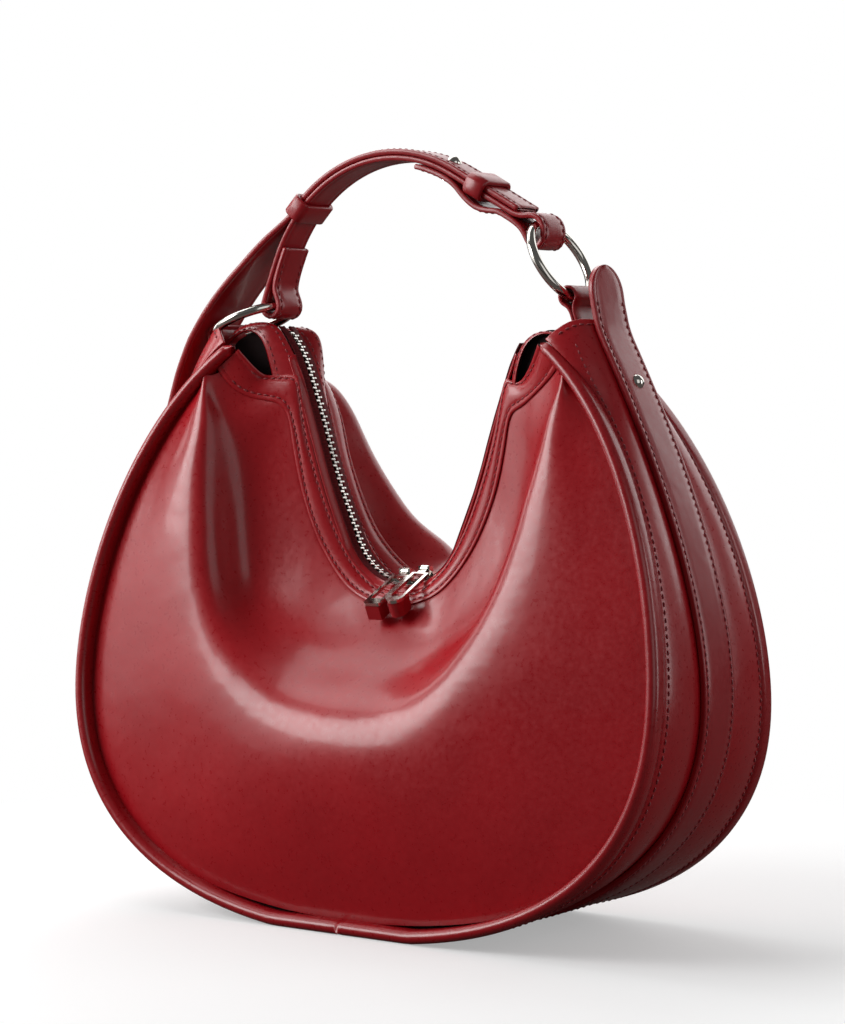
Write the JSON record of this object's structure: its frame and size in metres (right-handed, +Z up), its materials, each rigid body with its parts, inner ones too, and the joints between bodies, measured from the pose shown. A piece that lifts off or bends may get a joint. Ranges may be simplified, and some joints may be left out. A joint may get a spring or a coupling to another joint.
{
  "type": "shoulder bag",
  "caption": "Half-moon leather shoulder bag with a two-way zip along its deep curved mouth, rolled rims and a short arched handle held by metal rings.",
  "frame": {"origin": "centre of the bag's footprint on the table, under the belt", "axes": "+X to the bag's right as seen from the front, -Y out of its front, +Z up"},
  "size_m": [0.308, 0.1143, 0.3323],
  "materials": {
    "shell_leather": "smooth waxed red leather, soft gloss",
    "strap_leather": "smooth red strap leather with edge stitching",
    "zip_tape": "woven tape, dark red",
    "bright_metal": "polished nickel",
    "lining_cloth": "plain woven lining",
    "board": "matt stiffener board"
  },
  "bodies": {
    "bag": {"front_panel": "shell_leather", "back_panel": "shell_leather", "front_rim": "shell_leather", "back_rim": "shell_leather", "gusset": "shell_leather", "belt": "strap_leather", "front_facing": "shell_leather", "back_facing": "shell_leather", "front_placket": "shell_leather", "back_placket": "shell_leather", "zip_tape_front": "zip_tape", "zip_tape_back": "zip_tape", "zip_teeth_front": "bright_metal", "zip_teeth_back": "bright_metal", "tab_anchor_left": "strap_leather", "tab_anchor_right": "strap_leather", "belt_stud": "bright_metal", "lining_front": "lining_cloth", "lining_back": "lining_cloth", "lining_gusset": "lining_cloth", "base_board": "board", "slip_pocket": "lining_cloth"},
    "handle": {"belt_tail": "strap_leather", "handle_strap": "strap_leather", "handle_stud": "bright_metal", "ring_tab_left": "strap_leather", "ring_tab_right": "strap_leather"},
    "ring_l": {"ring_left": "bright_metal"},
    "ring_r": {"ring_right": "bright_metal"},
    "keeper_l": {"keeper_left": "strap_leather"},
    "keeper_r": {"keeper_right": "strap_leather"},
    "slider_l": {"slider_left": "bright_metal"},
    "slider_r": {"slider_right": "bright_metal"},
    "pull_l": {"pull_frame_left": "bright_metal", "pull_leather_left": "strap_leather"},
    "pull_r": {"pull_frame_right": "bright_metal", "pull_leather_right": "strap_leather"}
  },
  "joints": [
    {"name": "handle_swing", "type": "hinge", "parent": "bag", "child": "handle", "pos_m": [0, 0, 0.248], "axis": [1, 0, 0], "range_deg": [-14, 14]},
    {"name": "ring_left_spin", "type": "hinge", "parent": "handle", "child": "ring_l", "pos_m": [-0.08601, 0, 0.25964], "axis": [-0.3746, 0, 0.9272], "continuous": true},
    {"name": "ring_right_spin", "type": "hinge", "parent": "handle", "child": "ring_r", "pos_m": [0.0771, 0, 0.28239], "axis": [0.866, 0, 0.5], "continuous": true},
    {"name": "keeper_left_slide", "type": "hinge", "parent": "handle", "child": "keeper_l", "pos_m": [-0.0052, 0, 0.2618], "axis": [0, 1, 0], "range_deg": [0, 50]},
    {"name": "keeper_right_slide", "type": "slide", "parent": "handle", "child": "keeper_r", "axis": [0.8746, 0, -0.4848], "range_m": [-0.001, 0.005]},
    {"name": "slider_left_run", "type": "hinge", "parent": "bag", "child": "slider_l", "pos_m": [0, 0, 0.1746], "axis": [0, 1, 0], "range_deg": [0, 54]},
    {"name": "slider_right_run", "type": "hinge", "parent": "bag", "child": "slider_r", "pos_m": [0, 0, 0.1746], "axis": [0, 1, 0], "range_deg": [-38, 0]},
    {"name": "pull_left_flap", "type": "hinge", "parent": "slider_l", "child": "pull_l", "pos_m": [-0.00179, 0, 0.15027], "axis": [1, 0, 0], "range_deg": [-190, 0]},
    {"name": "pull_right_flap", "type": "hinge", "parent": "slider_r", "child": "pull_r", "pos_m": [0.00847, 0, 0.15172], "axis": [1, 0, 0], "range_deg": [-190, 0]}
  ]
}
